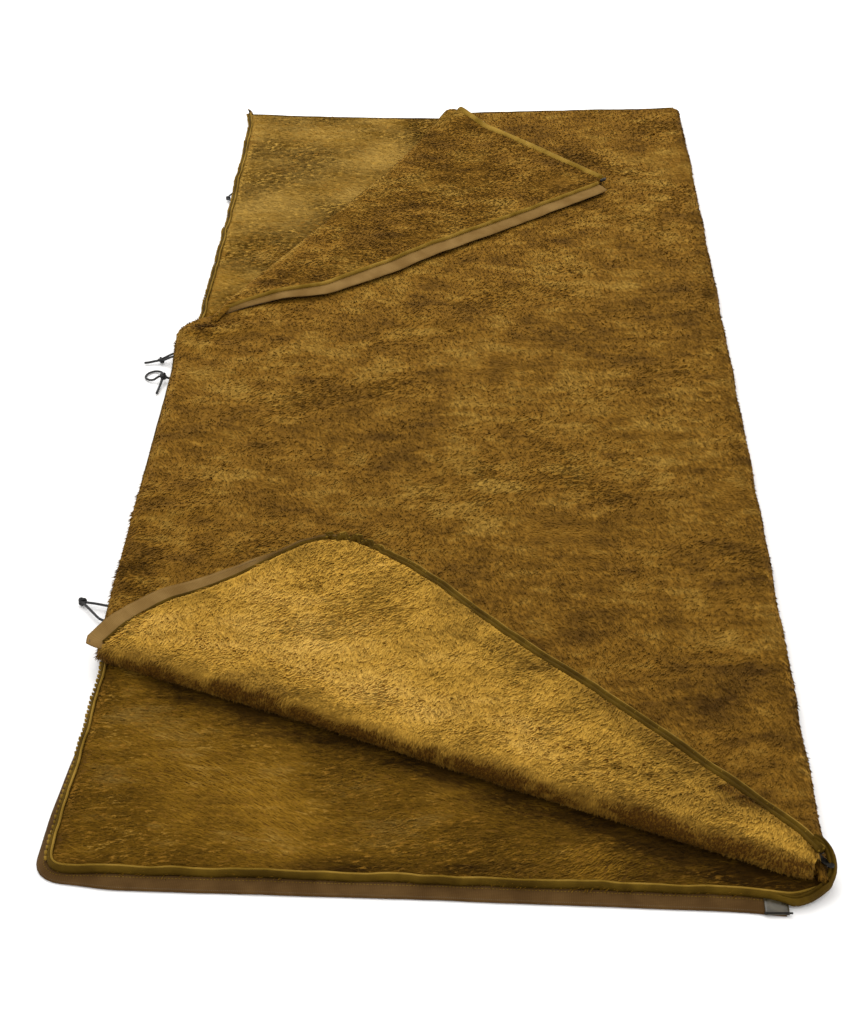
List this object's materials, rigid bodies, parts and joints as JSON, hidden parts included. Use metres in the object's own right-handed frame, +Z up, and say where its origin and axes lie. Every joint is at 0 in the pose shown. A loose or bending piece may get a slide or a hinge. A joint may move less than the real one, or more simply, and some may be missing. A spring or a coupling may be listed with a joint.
{
  "type": "camp blanket",
  "caption": "Plush camp blanket folded double along one long edge, with a separating zip on the other edge and foot, two corners turned back, and elastic ties.",
  "frame": {"origin": "on the ground, at the middle of the lower layer's underside", "axes": "+X towards the folded long edge, +Y towards the head end, +Z up"},
  "size_m": [0.7954, 1.9203, 0.037],
  "materials": {
    "plush_outer": "long-pile plush, golden brown, brushed in patches, matt with a soft sheen",
    "plush_inner": "long-pile plush, lighter gold where the light meets the pile, matt with a soft sheen",
    "binding": "olive knitted edge binding, two narrow ridges with a stitched groove between",
    "zip_tape": "tan woven zip tape, fine ribs",
    "zip_coil": "brown nylon coil",
    "end_film": "clear stiffening film at the zip's end",
    "zip_metal": "dark bronze-black lacquered zinc",
    "elastic": "black braided elastic cord"
  },
  "bodies": {
    "lower_layer": {"lower_panel": "plush_inner", "lower_side_binding": "binding", "lower_foot_binding": "binding", "lower_corner_binding": "binding", "lower_head_hem": "binding", "lower_side_tape": "zip_tape", "lower_foot_tape": "zip_tape", "lower_corner_tape": "zip_tape", "lower_side_coil": "zip_coil", "lower_foot_coil": "zip_coil", "lower_top_stop": "zip_metal", "lower_end_film": "end_film", "insertion_pin": "zip_metal", "foot_tie_strand_1": "elastic", "foot_tie_strand_2": "elastic", "foot_tie_knot": "elastic", "lower_tie_strand": "elastic", "lower_tie_ring": "elastic", "lower_tie_knot": "elastic", "head_tie_strand_1": "elastic", "head_tie_strand_2": "elastic", "head_tie_knot": "elastic"},
    "upper_layer": {"upper_panel": "plush_outer", "upper_side_binding": "binding", "upper_side_tape": "zip_tape", "upper_side_coil": "zip_coil", "upper_head_hem": "binding", "upper_tie_strand_1": "elastic", "upper_tie_strand_2": "elastic", "upper_tie_knot": "elastic"},
    "head_corner": {"head_flap": "plush_inner", "head_flap_binding": "binding", "head_flap_hem": "binding", "head_flap_tape": "zip_tape", "head_flap_coil": "zip_coil", "head_flap_top_stop": "zip_metal"},
    "foot_corner": {"foot_flap": "plush_inner", "foot_flap_side_binding": "binding", "foot_flap_foot_binding": "binding", "foot_flap_corner_binding": "binding", "foot_flap_side_tape": "zip_tape", "foot_flap_foot_tape": "binding", "foot_flap_corner_tape": "zip_tape", "foot_flap_side_coil": "zip_coil", "foot_flap_foot_coil": "zip_coil", "retainer_box": "zip_metal"},
    "zip_slider": {"slider_body": "zip_metal", "slider_arch": "zip_metal"},
    "zip_pull": {"slider_pull": "zip_metal"}
  },
  "joints": [
    {"name": "layer_fold", "type": "hinge", "parent": "lower_layer", "child": "upper_layer", "pos_m": [0.375, 0, 0.01225], "axis": [0, 1, 0], "range_deg": [0, 178]},
    {"name": "head_corner_fold", "type": "hinge", "parent": "upper_layer", "child": "head_corner", "pos_m": [-0.375, 0.115, 0.02475], "axis": [-0.4169, -0.9089, 0], "range_deg": [0, 178]},
    {"name": "foot_corner_fold", "type": "hinge", "parent": "upper_layer", "child": "foot_corner", "pos_m": [-0.375, -0.624, 0.02475], "axis": [0.9136, -0.4066, 0], "range_deg": [0, 178]},
    {"name": "slider_travel", "type": "slide", "parent": "foot_corner", "child": "zip_slider", "axis": [-0.6694, 0.7429, 0], "range_m": [0, 0.66]},
    {"name": "pull_swing", "type": "hinge", "parent": "zip_slider", "child": "zip_pull", "pos_m": [0.35608, -0.9284, 0.0348], "axis": [-0.7429, -0.6694, 0], "range_deg": [0, 170]}
  ]
}
